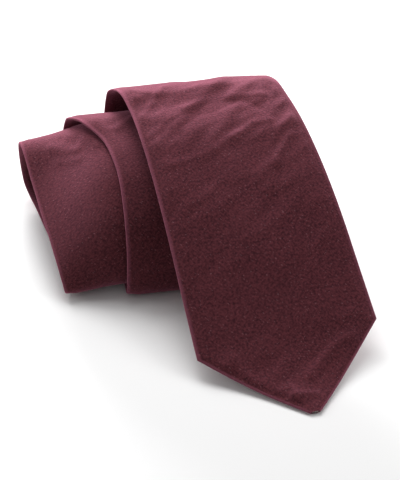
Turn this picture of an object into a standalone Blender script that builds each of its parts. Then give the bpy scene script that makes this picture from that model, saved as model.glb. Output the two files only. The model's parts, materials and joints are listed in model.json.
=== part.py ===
"""A rolled necktie: a lined, bias-cut tie wound into a flattened, telescoped roll.

The tie is one long flat tube.  Its path is followed in the roll's own frame:
f runs along the roll's axis, g runs away from the front, and z is up.  The path
parameter t counts turns: t = 0 is the crest of the roll, t > 0 winds down the back
and inwards, and t < 0 runs down the free blade, one unit for each 100 mm.
All lengths here are in millimetres; vertices are written in metres.
"""
import math
import bpy
import bmesh
from mathutils import Vector

MM = 0.001

# ---- driving dimensions (mm) ----------------------------------------------------
TIE_LENGTH = 1450.0
BLADE_WIDTH = 70.0          # wide end, corner to corner
NECK_WIDTH = 32.0
TAIL_WIDTH = 40.0
NECK_START = 750.0          # distance from the blade's point
NECK_END = 1000.0
CLOTH = 0.25                # shell fabric
TUBE_THICK = 1.4            # whole tie, pressed flat
BLADE_THICK = 1.8           # whole tie where the tipping is added
THICK_FROM = 105.0          # the blade is BLADE_THICK up to here ...
THICK_TO = 135.0            # ... and TUBE_THICK from here
LINING = 0.5                # interlining
TIPPING = 0.2
HEM = 10.0                  # turned-in fabric round the open back of an end
SEAM_GAP = 0.5              # half of the gap where the back flaps meet
JOINT_GAP = 0.3             # between two pieces of one strip
BLADE_OPEN = 72.0           # the back flaps part this far above the blade's point
TAIL_OPEN = 60.0

# ---- the lie of the roll ----------------------------------------------------------
ROLL_AZIMUTH = 9.3          # degrees from +X toward +Y
CREST_G = -27.0             # the crest line, from the roll's back
BLADE_DRIFT = 7.05          # degrees the free blade runs off square to the roll
CREST_F = 3.6               # centre line at the crest
TIP_HINGE_S = 80.0          # fold of the blade's lower end, from its point
PITCH_TURNS = 9.3           # turns between the outer and the inner outline
INWARD = [(0.0, 0.0), (0.55, 0.0), (1.25, 1.0), (20.0, 19.75)]     # (turn, layers wound inward)
LOOSE_FROM = 2.0            # the first turn stands up off the next, as far as this place of OUTER ...
LOOSE_OVER = 2.0            # ... and closes onto it over this many more
STATIONS = 24               # cross-sections in one turn

# Slope of the free blade (distance from the crest, degrees below level).
BLADE_SLOPES = [(0, 0), (10, 5), (40, 22.6), (75, 36.5), (105, 33), (122, 18), (134, 3), (150, 0)]

# Outlines of the roll (g, z), from the crest over the back and round to the front.
OUTER = [(-27, 43.0), (-12, 42.4), (1, 35), (5, 21), (1, 7), (-12, 0.7), (-36, 0.7),
         (-62, 0.7), (-78.6, 1.8), (-78.8, 13), (-72, 28), (-58, 38), (-44, 42)]
INNER = [(-35, 23.4), (-27, 23.4), (-21, 23.0), (-19, 22), (-21, 21.0), (-27, 20.6), (-34, 20.6),
         (-41, 20.6), (-46, 21.0), (-48, 22), (-46, 23.0), (-43, 23.4), (-39, 23.4)]
# The unsupported left end of the third turn sags into a wedge.
WEDGE_OUTER = [(-30, 26), (-15, 31.5), (-4, 30), (1, 19), (-1, 7), (-12, 0.7), (-36, 0.7),
               (-60, 0.7), (-77, 1.6), (-74.5, 7), (-66, 12), (-55, 17), (-43, 21.5)]
WEDGE_INNER = [(-22, 16), (-16, 16), (-11, 15), (-9, 13), (-11, 11), (-16, 10), (-25, 10),
               (-34, 10), (-39, 11), (-41, 13), (-39, 15), (-34, 16), (-28, 16)]
WEDGE_PITCH = 0.22
WEDGE_TURNS = (1.2, 1.5)    # the wedge sets in between these turns ...
WEDGE_FULL_F = -71.0        # ... and between these places along the roll
WEDGE_START_F = -37.0
# Centre line of the strip along the roll (turn, f).
DRIFT = [(-0.15, 7.5), (0.0, 3.6), (0.1, 0.2), (0.2, -4.6), (0.25, -6.0), (0.5, -8.8), (0.62, -9.9),
         (0.75, -9.4), (0.9, -10.4), (1.0, -14), (1.08, -20), (1.15, -26), (1.25, -30.2), (1.5, -35.5),
         (1.62, -38.6), (1.75, -42), (2.0, -49), (2.15, -53), (2.25, -53.6), (2.33, -52.4), (2.5, -45.8),
         (2.62, -41.9), (2.8, -36), (3.0, -30), (3.25, -24), (3.5, -19), (4.0, -11), (5.0, -3), (6.0, 0),
         (9.5, 0)]
NECK_SEAM = 3.46            # turns at which the three lengths are sewn together
TAIL_SEAM = 5.46
SEAM_SLANT = 0.6            # how far a seam runs along the strip, for each mm across it
LINING_CUT = 3.75           # turn at which one length of interlining follows the other

# ---- layers inside the shell: their heights off the middle of the tie (mm) -------------------
LINING_INSET = CLOTH + 0.4              # from the strip's edge to the interlining's
BLADE_LINING = (0.05, 0.45)             # low and high side, where the tipping is added
TIPPING_INSET = CLOTH + 0.6
BLADE_TIPPING = (-0.15 - TIPPING, -0.15)
TAIL_LINING = (0.0, 0.28)
TAIL_TIPPING = (-0.3, -0.14)
TAIL_TIPPING_INSET = CLOTH + 0.5
TAIL_TIPPING_LENGTH = 62.0
POINT_END = 2.2                         # the blade's shell stops this far short of its point
TAIL_SHELL_END = 2.0
TAIL_LINING_END = 5.0

# ---- what is sewn on the back: s up the strip from the point, u across it (mm) ----------------
KEEPER_S = (118, 126)
KEEPER_CLOTH = 0.5
KEEPER_STAND = [(-25, 0.3), (-22, 0.4), (-18, 1.0), (-11, 1.9), (0, 2.2),
                (11, 1.9), (18, 1.0), (22, 0.4), (25, 0.3)]         # (u, height off the cloth)
KEEPER_TACKS = [(119.5, -23.5), (123.7, -23.5), (119.5, 23.5), (123.7, 23.5)]      # (s, u)
TACK_LENGTH = 0.8
TACK_HALF = 1.2
TACK_LIFT = 1.1
TACK_THICK = 0.35
LABEL = (90, 108, -17, 17, 0.3, 0.3)    # s from and to, u from and to, gap, thickness
TAG = (92, 104, 19, 29, 0.3, 0.25)
BLADE_TACK = (73.4, 74.6, -5, 5, 0.3, 0.45)
STITCH_PLACES = (83, 111, 129, 135)
STITCH_LENGTH = 4
STITCH_HALF = 0.2
STITCH_THICK = 0.4
TAIL_TACK_S = TIE_LENGTH - 64.0
TAIL_TACK_HALF = (0.6, 4.0)             # along and across
TAIL_TACK_GAP = 0.3
TAIL_TACK_THICK = 0.4

CLOTH_COLOUR = (0.085, 0.018, 0.026)
LINING_COLOUR = (0.72, 0.69, 0.62)
TIPPING_COLOUR = (0.06, 0.012, 0.02)
THREAD_COLOUR = (0.05, 0.012, 0.018)
LABEL_COLOUR = (0.03, 0.03, 0.035)
TAG_COLOUR = (0.75, 0.74, 0.71)


# ---- small mathematics ------------------------------------------------------------
def lerp(a, b, k):
    return a + (b - a) * k


def smooth(x):
    x = min(max(x, 0.0), 1.0)
    return x * x * (3.0 - 2.0 * x)


def catmull(p0, p1, p2, p3, u):
    return 0.5 * (2 * p1 + (p2 - p0) * u + (2 * p0 - 5 * p1 + 4 * p2 - p3) * u ** 2
                  + (3 * p1 - p0 - 3 * p2 + p3) * u ** 3)


def outline(points, turn):
    """Point (g, z) on a closed outline; turn counts once round."""
    count = len(points)
    x = (turn % 1.0) * count
    i = int(x)
    near = [points[(i + k) % count] for k in (-1, 0, 1, 2)]
    return tuple(catmull(*[p[axis] for p in near], x - i) for axis in (0, 1))


def table(rows, x):
    """Straight lines between the rows of a table."""
    for (x0, y0), (x1, y1) in zip(rows, rows[1:]):
        if x <= x1:
            return lerp(y0, y1, (x - x0) / (x1 - x0))
    return rows[-1][1]


def curve_table(rows, x):
    """A smooth curve through the rows of a table."""
    i = 0
    while i < len(rows) - 2 and x > rows[i + 1][0]:
        i += 1
    (x0, y0), (x1, y1) = rows[i], rows[i + 1]
    before = rows[max(i - 1, 0)]
    after = rows[min(i + 2, len(rows) - 1)]
    u = min(max((x - x0) / (x1 - x0), 0.0), 1.0)
    slope0 = (y1 - before[1]) / (x1 - before[0]) * (x1 - x0)
    slope1 = (after[1] - y0) / (after[0] - x0) * (x1 - x0)
    return ((2 * u ** 3 - 3 * u ** 2 + 1) * y0 + (u ** 3 - 2 * u ** 2 + u) * slope0
            + (3 * u ** 2 - 2 * u ** 3) * y1 + (u ** 3 - u ** 2) * slope1)


# ---- the path of the strip ----------------------------------------------------------
DRIFT_ANGLE = math.radians(BLADE_DRIFT)
BLADE_RUN = 142.6                                   # from the crest to the point, square to f
CREST_S = BLADE_RUN / math.cos(DRIFT_ANGLE)         # the same along the strip
BLADE_STEPS = 200


def blade_profile():
    """(g, z) down the free blade; the point lies flat on the table."""
    step = BLADE_RUN / BLADE_STEPS
    places = [(0.0, 0.0)]
    for i in range(BLADE_STEPS):
        slope = math.radians(table(BLADE_SLOPES, (i + 0.5) * step))
        g, z = places[-1]
        places.append((g - math.cos(slope) * step, z - math.sin(slope) * step))
    drop = places[-1][1]
    return [(CREST_G + g, z - drop + BLADE_THICK / 2) for g, z in places]


BLADE_PLACES = blade_profile()
CREST_Z = BLADE_PLACES[0][1]


def blade_place(run):
    x = min(max(run / BLADE_RUN * BLADE_STEPS, 0.0), BLADE_STEPS)
    i = min(int(x), BLADE_STEPS - 1)
    return tuple(lerp(a, b, x - i) for a, b in zip(BLADE_PLACES[i], BLADE_PLACES[i + 1]))


def roll_place(t):
    """The first turn lies on the outer outline down to its flat underside; then the turns wind inward."""
    outer = outline(OUTER, t)
    inner = outline(INNER, t)
    depth = table(INWARD, t) / PITCH_TURNS
    g = lerp(outer[0], inner[0], depth)
    z = lerp(max(outer[1], TUBE_THICK / 2), inner[1], depth)
    loose = 1.0 - smooth((t * len(OUTER) - LOOSE_FROM) / LOOSE_OVER)
    if t < 0.5:
        z += (CREST_Z - OUTER[0][1]) * loose
    return g, z


def wedge_place(t):
    outer = outline(WEDGE_OUTER, t)
    inner = outline(WEDGE_INNER, t)
    depth = max(t - 1.4, 0.0) * WEDGE_PITCH
    return lerp(outer[0], inner[0], depth), lerp(max(outer[1], TUBE_THICK / 2), inner[1], depth)


def path(t, f):
    """Middle of the tie's thickness, as a point (f, g, z)."""
    if t < 0:
        return Vector((f, *blade_place(-100.0 * t)))
    g, z = roll_place(t)
    sag = smooth((t - WEDGE_TURNS[0]) / (WEDGE_TURNS[1] - WEDGE_TURNS[0]))
    sag *= smooth((WEDGE_START_F - f) / (WEDGE_START_F - WEDGE_FULL_F))
    if sag > 0:
        low = wedge_place(t)
        g, z = lerp(g, low[0], sag), lerp(z, low[1], sag)
    return Vector((f, g, z))


def lifted(t, f, height):
    """A point standing height off the middle of the tie; the front of the tie is outward."""
    along = path(t + 0.006, f) - path(t - 0.006, f)
    across = path(t, f + 0.5) - path(t, f - 0.5)
    return path(t, f) + across.cross(along).normalized() * height


# ---- how wide and thick the tie is at a distance s from the blade's point -------------
def half_width(s):
    if s < NECK_START:
        wide = lerp(BLADE_WIDTH, NECK_WIDTH, max(s - BLADE_WIDTH / 2, 0) / (NECK_START - BLADE_WIDTH / 2))
    else:
        wide = lerp(NECK_WIDTH, TAIL_WIDTH, max(s - NECK_END, 0) / (TIE_LENGTH - NECK_END))
    return min(wide / 2, TIE_LENGTH - s)


def thickness(s):
    return lerp(BLADE_THICK, TUBE_THICK, smooth((s - THICK_FROM) / (THICK_TO - THICK_FROM)))


def back_opening(s, half):
    """Half of the gap between the back flaps: a seam, parting in a V toward each end."""
    for end, opens in ((s, BLADE_OPEN), (TIE_LENGTH - s, TAIL_OPEN)):
        if end < opens:
            full = BLADE_WIDTH / 2 if opens == BLADE_OPEN else TAIL_WIDTH / 2
            inner = full - HEM * math.sqrt(2)
            vee = inner * (opens - end) / (opens - full)
            return max(SEAM_GAP, min(vee, inner, half - HEM * math.sqrt(2)))
    return SEAM_GAP


# ---- rows: lines straight across the strip, from its left edge to its right edge -------
class Row:
    def __init__(self, s, left, right, half):
        self.s = s
        self.left = left
        self.right = right
        self.half = half
        self.thick = thickness(s)

    def point(self, u, n):
        k = 0.5 + 0.5 * u / self.half
        return lifted(lerp(self.left[0], self.right[0], k), lerp(self.left[1], self.right[1], k), n)


def blade_spot(s, u):
    """(t, f) of a spot on the free blade, u off its centre line."""
    down = CREST_S - s
    run = down * math.cos(DRIFT_ANGLE) - u * math.sin(DRIFT_ANGLE)
    return -run / 100.0, CREST_F + down * math.sin(DRIFT_ANGLE) + u * math.cos(DRIFT_ANGLE)


def blade_edge(side, run):
    """Distance s at which an edge of the blade crosses the line run below the crest."""
    s = CREST_S - run
    for _ in range(4):
        s = CREST_S - (run + side * half_width(s) * math.sin(DRIFT_ANGLE)) / math.cos(DRIFT_ANGLE)
    return s


def blade_row(s_left, s_right):
    s = (s_left + s_right) / 2
    left = blade_spot(s_left, -min(half_width(s_left), s_left))
    right = blade_spot(s_right, min(half_width(s_right), s_right))
    return Row(s, left, right, math.hypot(100 * (right[0] - left[0]), right[1] - left[1]) / 2)


def blade_rows(run_from, run_to, count):
    """Rows along the roll's direction between two distances below the crest."""
    runs = [lerp(run_from, run_to, i / count) for i in range(count + 1)]
    return [blade_row(blade_edge(-1, run), blade_edge(1, run)) for run in runs]


def point_rows(run_from, corner_steps, point_steps, last):
    """Rows that turn square to the strip at its corners and close on its point."""
    corner = BLADE_WIDTH / 2
    start = [blade_edge(side, run_from) for side in (-1, 1)]
    rows = [blade_row(*[lerp(s, corner, i / corner_steps) for s in start]) for i in range(corner_steps)]
    ends = [lerp(corner, last, i / point_steps) for i in range(point_steps + 1)]
    return rows + [blade_row(s, s) for s in ends]


def measure_roll():
    """Distance s for each station of the roll, until the tie ends."""
    step = 1.0 / STATIONS
    marks = [(0.0, CREST_S)]
    before = path(0.0, 0.0)
    while marks[-1][1] < TIE_LENGTH:
        t = marks[-1][0] + step
        here = path(t, 0.0)
        slide = curve_table(DRIFT, t) - curve_table(DRIFT, t - step)
        marks.append((t, marks[-1][1] + math.hypot((here - before).length, slide)))
        before = here
    return marks


MARKS = measure_roll()
TURN_OF_S = [(s, t) for t, s in MARKS]


def pace(t):
    """Millimetres of path in one turn, locally."""
    return (path(t + 0.01, 0.0) - path(t - 0.01, 0.0)).length / 0.02


def roll_row(t_left, t_right):
    t = (t_left + t_right) / 2
    s = table(MARKS, t)
    half = half_width(s)
    slide = (curve_table(DRIFT, t + 0.01) - curve_table(DRIFT, t - 0.01)) / 0.02
    reach = half * math.hypot(slide, pace(t)) / pace(t)
    left = curve_table(DRIFT, t_left) - reach
    right = curve_table(DRIFT, t_right) + reach
    return Row(s, (t_left, left), (t_right, right), half)


def roll_rows(t_from, t_to, seam_from=False, seam_to=False):
    """Rows at the stations between two turns; an end at a seam is cut on the slant."""
    rows = []
    start, stop = t_from, t_to
    for seam, turn, way in ((seam_from, t_from, 1), (seam_to, t_to, -1)):
        if seam:
            slant = half_width(table(MARKS, turn)) * SEAM_SLANT / pace(turn)
            gap = JOINT_GAP * 0.6 / pace(turn) * way
            square = turn + (slant + 0.01) * way
            first, last = turn - slant + gap, turn + slant + gap
            fan = [roll_row(lerp(first, square, k / 3), lerp(last, square, k / 3)) for k in range(3)]
            if way > 0:
                rows += fan
                start = square
            else:
                closing = fan[::-1]
                stop = square
    turns = [t for t, _ in MARKS if start + 0.3 / STATIONS < t < stop - 0.3 / STATIONS]
    rows += [roll_row(t, t) for t in [start, *turns, stop]]
    return rows + closing if seam_to else rows


# ---- sections, each a ring of (u, n) round the strip -----------------------------------
def spread(a, b, count):
    return [lerp(a, b, i / (count - 1)) for i in range(count)]


def columns(half, reach, count):
    """Places across a layer of half width reach; all layers of a row share their inner places."""
    return [min(max(u, -reach), reach) for u in spread(-half, half, count)]


def flap_columns(half, reach, gap, count):
    """Places across a back flap, from the strip's edge to the gap."""
    if gap > SEAM_GAP:
        return spread(reach, gap, count)
    return [reach, *spread(half, 0.0, count)[1:-1], gap]


def shell_ring(row, front, back):
    """The shell's C: front, back flaps, and the same again on the inside."""
    half, top = row.half, row.thick / 2
    slant = math.sqrt(2) if row.s < BLADE_WIDTH / 2 else 1.0
    inside = half - CLOTH * slant
    gap = min(back_opening(row.s, half), inside - 0.3)
    flap = flap_columns(half, half, gap, back)
    lining = flap_columns(half, inside, gap, back)
    outer = [(u, top) for u in columns(half, half, front)]
    outer += [(u, -top) for u in flap]
    inner = [(u, -top + CLOTH) for u in reversed(lining)]
    inner += [(u, top - CLOTH) for u in reversed(columns(half, inside, front))]
    inner += [(-u, -top + CLOTH) for u in lining]
    return outer + inner + [(-u, -top) for u in reversed(flap)]


def shell_cap(front, back):
    """Faces that close the C at one end, as indices into its ring."""
    size = 2 * front + 4 * back
    inner_front = front + 2 * back
    faces = [(i, i + 1, inner_front + front - 2 - i, inner_front + front - 1 - i) for i in range(front - 1)]
    right_in = front + back
    faces += [(front + i, front + i + 1, right_in + back - 2 - i, right_in + back - 1 - i)
              for i in range(back - 1)]
    faces.append((front - 1, front, right_in + back - 1, inner_front))
    left_in = inner_front + front
    faces += [(left_in + i, left_in + i + 1, size - 2 - i, size - 1 - i) for i in range(back - 1)]
    faces.append((0, inner_front + front - 1, left_in, size - 1))
    return faces


def sheet_ring(row, inset, low, high, count):
    slant = math.sqrt(2) if min(row.s, TIE_LENGTH - row.s) < row.half + 3 else 1.0
    places = columns(row.half, row.half - inset * slant, count)
    return [(u, high) for u in places] + [(u, low) for u in reversed(places)]


def sheet_cap(count):
    return [(i, i + 1, 2 * count - 2 - i, 2 * count - 1 - i) for i in range(count - 1)]


# ---- making objects ----------------------------------------------------------------
def make_material(name, colour, roughness):
    material = bpy.data.materials.new(name)
    material.use_nodes = True
    shader = material.node_tree.nodes["Principled BSDF"]
    shader.inputs["Base Color"].default_value = (*colour, 1.0)
    shader.inputs["Roughness"].default_value = roughness
    shader.inputs["Metallic"].default_value = 0.0
    return material


def add_object(name, body, parent, material):
    """One object from a body, about its parent's origin.

    A body is its rings of points, the faces that cap them, and each ring point's u.  Every
    four-sided patch is split from its lower u to its higher u, so that layers lie parallel.
    """
    mesh = bpy.data.meshes.new(name)
    bm = bmesh.new()
    origin = Vector(parent["roll_place"])
    rings, cap, across = body
    grid = [[bm.verts.new((p - origin) * MM) for p in ring] for ring in rings]
    size = len(grid[0])
    for a, b in zip(grid, grid[1:]):
        for i in range(size):
            j = (i + 1) % size
            low, high = (i, j) if across[i] <= across[j] else (j, i)
            bm.faces.new((a[i], a[j], b[high]))
            bm.faces.new((a[low], b[j], b[i]))
    for face in cap:
        bm.faces.new([grid[0][i] for i in reversed(face)])
        bm.faces.new([grid[-1][i] for i in face])
    bmesh.ops.recalc_face_normals(bm, faces=bm.faces)
    bm.to_mesh(mesh)
    bm.free()
    mesh.shade_smooth()
    mesh.set_sharp_from_angle(angle=math.radians(50))
    mesh.materials.append(material)
    thing = bpy.data.objects.new(name, mesh)
    bpy.context.collection.objects.link(thing)
    thing.parent = parent
    return thing


def add_empty(name, place, parent=None):
    """An empty at a place in the roll's frame; its children are built about that place."""
    empty = bpy.data.objects.new(name, None)
    bpy.context.collection.objects.link(empty)
    empty.parent = parent
    empty["roll_place"] = place
    start = Vector(parent["roll_place"]) if parent else Vector((0, 0, 0))
    empty.location = (Vector(place) - start) * MM
    return empty


def shell(rows, front, back):
    rings = [[row.point(u, n) for u, n in shell_ring(row, front, back)] for row in rows]
    return rings, shell_cap(front, back), [u for u, _ in shell_ring(rows[0], front, back)]


def sheet(rows, inset, low, high, count=2):
    """A flat layer inside the shell; low and high are its heights, one value or one for each row."""
    rings = []
    for row in rows:
        bottom = low(row.s) if callable(low) else low
        top = high(row.s) if callable(high) else high
        rings.append([row.point(u, n) for u, n in sheet_ring(row, inset, bottom, top, count)])
    return rings, sheet_cap(count), [u for u, _ in sheet_ring(rows[0], inset, 0.0, 1.0, count)]


def patch(s_from, s_to, u_from, u_to, gap, thick, steps=3):
    """A small flat piece lying on the back of the blade, gap off its cloth."""
    rings = []
    for s in spread(s_from, s_to, steps):
        face = -thickness(s) / 2 - gap
        ring = [(u, face) for u in spread(u_from, u_to, 4)]
        ring += [(u, face - thick) for u in spread(u_to, u_from, 4)]
        rings.append([lifted(*blade_spot(s, u), n) for u, n in ring])
    return rings, sheet_cap(4), [u for u, _ in ring]


def lining_low(s):
    return lerp(BLADE_LINING[0], -LINING / 2, smooth((s - THICK_FROM) / (THICK_TO - THICK_FROM)))


def lining_high(s):
    return lerp(BLADE_LINING[1], LINING / 2, smooth((s - THICK_FROM) / (THICK_TO - THICK_FROM)))


def near_tail(s):
    """How far the interlining has moved over to make room for the tail's tipping."""
    return smooth((s - (TIE_LENGTH - 95)) / 25.0)


def tail_low(s):
    return lerp(-LINING / 2, TAIL_LINING[0], near_tail(s))


def tail_high(s):
    return lerp(LINING / 2, TAIL_LINING[1], near_tail(s))


def keeper_body():
    """A narrow band across the blade's back, standing off it in the middle."""
    near, far = KEEPER_S
    rings = []
    for u, gap in KEEPER_STAND:
        ring = []
        for s, extra in ((near, 0), (far, 0), (far, KEEPER_CLOTH), (near, KEEPER_CLOTH)):
            ring.append(lifted(*blade_spot(s, u), -thickness(s) / 2 - gap - extra))
        rings.append(ring)
    return rings, [(0, 1, 2, 3)], [0, 1, 1, 0]


def tail_tack_body():
    """The tack at the tail's end; it faces the hollow of the roll."""
    t = table(TURN_OF_S, TAIL_TACK_S)
    along, across = TAIL_TACK_HALF
    low = -TUBE_THICK / 2 - TAIL_TACK_GAP
    under = low - TAIL_TACK_THICK
    corners = [(-across, low), (across, low), (across, under), (-across, under)]
    rings = []
    for turn in (t - along / pace(t), t + along / pace(t)):
        row = roll_row(turn, turn)
        rings.append([row.point(u, n) for u, n in corners])
    return rings, [(0, 1, 2, 3)], [u for u, _ in corners]


def build():
    for thing in list(bpy.data.objects):
        bpy.data.objects.remove(thing, do_unlink=True)

    cloth = make_material("burgundy_cotton", CLOTH_COLOUR, 0.9)
    wool = make_material("interlining_wool", LINING_COLOUR, 0.95)
    satin = make_material("tipping_satin", TIPPING_COLOUR, 0.45)
    thread = make_material("sewing_thread", THREAD_COLOUR, 0.6)
    label = make_material("label_weave", LABEL_COLOUR, 0.6)
    tag = make_material("tag_weave", TAG_COLOUR, 0.7)

    root = add_empty("roll_frame", (0, 0, 0))
    hinge_run = (CREST_S - TIP_HINGE_S) * math.cos(DRIFT_ANGLE)
    just_below = -1e-6
    crest = lifted(just_below, CREST_F, TUBE_THICK / 2)
    fold_f = CREST_F + hinge_run * math.tan(DRIFT_ANGLE)
    fold = lifted(-hinge_run / 100, fold_f, BLADE_THICK / 2)
    lift_axis = add_empty("blade_lift_axis", tuple(crest), root)
    tip_axis = add_empty("tip_lift_axis", tuple(fold), lift_axis)

    # the free blade, in two lengths either side of the fold
    gap = JOINT_GAP / 2
    flap = blade_rows(gap, hinge_run - gap, 7)
    point = point_rows(hinge_run + gap, 6, 6, POINT_END)
    add_object("blade_shell_tip", shell(point, 5, 3), tip_axis, cloth)
    add_object("blade_shell_flap", shell(flap, 5, 3), lift_axis, cloth)
    add_object("interlining_tip", sheet(point[:-1], LINING_INSET, lining_low, lining_high, 5), tip_axis, wool)
    add_object("interlining_flap", sheet(flap, LINING_INSET, lining_low, lining_high, 5), lift_axis, wool)
    add_object("blade_tipping", sheet(point[1:-1], TIPPING_INSET, *BLADE_TIPPING, 5), tip_axis, satin)

    # the wound part
    blade_roll = roll_rows(gap / pace(0.02), NECK_SEAM, seam_to=True)
    neck = roll_rows(NECK_SEAM, TAIL_SEAM, seam_from=True, seam_to=True)
    tail = roll_rows(TAIL_SEAM, table(TURN_OF_S, TIE_LENGTH - TAIL_SHELL_END), seam_from=True)
    add_object("blade_shell_roll", shell(blade_roll, 7, 4), root, cloth)
    add_object("neck_shell", shell(neck, 5, 3), root, cloth)
    add_object("tail_shell", shell(tail, 2, 2), root, cloth)

    cut = gap / pace(LINING_CUT)
    first = roll_rows(gap / pace(0.02), LINING_CUT - cut)
    second = roll_rows(LINING_CUT + cut, table(TURN_OF_S, TIE_LENGTH - TAIL_LINING_END))
    lined = [row for row in second if row.s > TIE_LENGTH - TAIL_TIPPING_LENGTH]
    add_object("interlining_roll", sheet(first, LINING_INSET, lining_low, lining_high, 7), root, wool)
    add_object("interlining_tail", sheet(second, LINING_INSET, tail_low, tail_high), root, wool)
    add_object("tail_tipping", sheet(lined, TAIL_TIPPING_INSET, *TAIL_TIPPING), root, satin)
    add_object("bar_tack_tail", tail_tack_body(), root, thread)

    # what is sewn on the blade's back
    add_object("keeper_loop", keeper_body(), lift_axis, cloth)
    for number, (s, u) in enumerate(KEEPER_TACKS, 1):
        tack = patch(s, s + TACK_LENGTH, u - TACK_HALF, u + TACK_HALF, TACK_LIFT, TACK_THICK, 2)
        add_object(f"keeper_tack_{number}", tack, lift_axis, thread)
    add_object("label_patch", patch(*LABEL), lift_axis, label)
    add_object("care_tag", patch(*TAG), lift_axis, tag)
    add_object("bar_tack_blade", patch(*BLADE_TACK, 2), tip_axis, thread)
    for number, s in enumerate(STITCH_PLACES, 1):
        stitch = patch(s, s + STITCH_LENGTH, -STITCH_HALF, STITCH_HALF, -STITCH_HALF, STITCH_THICK, 2)
        add_object(f"slip_stitch_{number}", stitch, lift_axis, thread)

    stand_on_origin(root)


def stand_on_origin(root):
    """Turn the roll to its heading and put the middle of its base at the origin."""
    root.rotation_euler = (0, 0, math.radians(ROLL_AZIMUTH))
    bpy.context.view_layer.update()
    corners = [thing.matrix_world @ v.co for thing in bpy.data.objects if thing.type == "MESH"
               for v in thing.data.vertices]
    low = [min(c[i] for c in corners) for i in range(3)]
    high = [max(c[i] for c in corners) for i in range(3)]
    root.location = (-(low[0] + high[0]) / 2, -(low[1] + high[1]) / 2, -low[2])
    bpy.context.view_layer.update()


build()
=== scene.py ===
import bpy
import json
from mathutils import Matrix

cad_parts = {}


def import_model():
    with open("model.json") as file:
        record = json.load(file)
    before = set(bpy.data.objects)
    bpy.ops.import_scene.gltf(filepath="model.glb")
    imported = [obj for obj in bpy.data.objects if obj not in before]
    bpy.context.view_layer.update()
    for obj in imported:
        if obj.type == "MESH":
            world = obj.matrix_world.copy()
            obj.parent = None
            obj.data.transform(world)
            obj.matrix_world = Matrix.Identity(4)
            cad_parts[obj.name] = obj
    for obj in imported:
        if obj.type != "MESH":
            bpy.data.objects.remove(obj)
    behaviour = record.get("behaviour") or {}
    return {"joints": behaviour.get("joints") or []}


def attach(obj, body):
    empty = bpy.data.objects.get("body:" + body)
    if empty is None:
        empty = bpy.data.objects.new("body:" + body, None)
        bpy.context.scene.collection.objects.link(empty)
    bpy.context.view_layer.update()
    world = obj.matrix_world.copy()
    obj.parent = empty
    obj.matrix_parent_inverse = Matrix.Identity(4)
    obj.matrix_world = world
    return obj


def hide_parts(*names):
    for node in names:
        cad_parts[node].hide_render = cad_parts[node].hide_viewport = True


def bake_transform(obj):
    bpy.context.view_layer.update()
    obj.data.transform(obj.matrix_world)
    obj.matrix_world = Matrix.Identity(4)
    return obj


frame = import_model()

"""The looks of a rolled necktie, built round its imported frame.

The tie is one long strip of lined cotton.  A place on it is given by the turn t of the
roll and by f, the distance along the roll's axis, as in the CAD: t = 0 is the crest,
t > 0 winds down the back and inwards, and t < 0 runs down the free blade, 100 mm to
the unit.  Lengths are in millimetres, in the roll's frame (f, g, z), until a mesh is made.
"""
import json
import math

import bpy
import numpy as np
from mathutils import Vector

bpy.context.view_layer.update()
MM = 0.001

# ---- the tie's sizes, as in the CAD (mm); s is the distance from the blade's point ----
TIE_LENGTH = 1450.0
BLADE_WIDTH = 70.0
NECK_WIDTH = 32.0
TAIL_WIDTH = 40.0
NECK_START = 750.0  # s where the neck's even width begins ...
NECK_END = 1000.0  # ... and ends
CLOTH = 0.25
TUBE_THICK = 1.4  # thickness of the folded tie ...
BLADE_THICK = 1.8  # ... and of the blade's end, which has a tipping
THICK_FROM = 105.0  # s where the blade's end begins to thin ...
THICK_TO = 135.0  # ... and is as thin as the rest
LINING = 0.5
HEM = 10.0  # width of the hem that frames the tipping
BLADE_OPEN = 72.0  # how far the back is open from the blade's point ...
TAIL_OPEN = 60.0  # ... and from the tail's end

# ---- the lie of the roll, as in the CAD (mm) ----
CREST_G = -27.0
CREST_F = 3.6  # f of the strip's middle at the crest
BLADE_DRIFT = math.radians(7.05)  # the blade runs this much off square to the roll's axis
BLADE_RUN = 142.6  # cloth from the crest to the point, square to the roll's axis
CREST_S = BLADE_RUN / math.cos(BLADE_DRIFT)
TIP_HINGE_S = 80.0  # s of the fold above the blade's point
PITCH_TURNS = 9.3  # turns from the outer outline in to the inner one
INWARD = [(0.0, 0.0), (0.55, 0.0), (1.25, 1.0), (20.0, 19.75)]  # (turn, turns gone inward)
LOOSE_FROM = 2.0  # the crest's lift fades behind this corner of the outline ...
LOOSE_OVER = 2.0  # ... over so many corners
BLADE_SLOPES = [(0, 0), (10, 5), (40, 22.6), (75, 36.5), (105, 33), (122, 18), (134, 3), (150, 0)]
OUTER = [(-27, 43.0), (-12, 42.4), (1, 35), (5, 21), (1, 7), (-12, 0.7), (-36, 0.7),
         (-62, 0.7), (-78.6, 1.8), (-78.8, 13), (-72, 28), (-58, 38), (-44, 42)]
INNER = [(-35, 23.4), (-27, 23.4), (-21, 23.0), (-19, 22), (-21, 21.0), (-27, 20.6), (-34, 20.6),
         (-41, 20.6), (-46, 21.0), (-48, 22), (-46, 23.0), (-43, 23.4), (-39, 23.4)]
# The slack left end of the third turn sags to outlines of its own.
WEDGE_OUTER = [(-30, 26), (-15, 31.5), (-4, 30), (1, 19), (-1, 7), (-12, 0.7), (-36, 0.7),
               (-60, 0.7), (-77, 1.6), (-74.5, 7), (-66, 12), (-55, 17), (-43, 21.5)]
WEDGE_INNER = [(-22, 16), (-16, 16), (-11, 15), (-9, 13), (-11, 11), (-16, 10), (-25, 10),
               (-34, 10), (-39, 11), (-41, 13), (-39, 15), (-34, 16), (-28, 16)]
WEDGE_PITCH = 0.22  # share of the way inward, each turn ...
WEDGE_PITCH_FROM = 1.4  # ... after this turn
WEDGE_TURNS = (1.2, 1.5)  # the sag sets in between these turns
WEDGE_START_F = -37.0  # and between these places along the axis
WEDGE_FULL_F = -71.0
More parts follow.
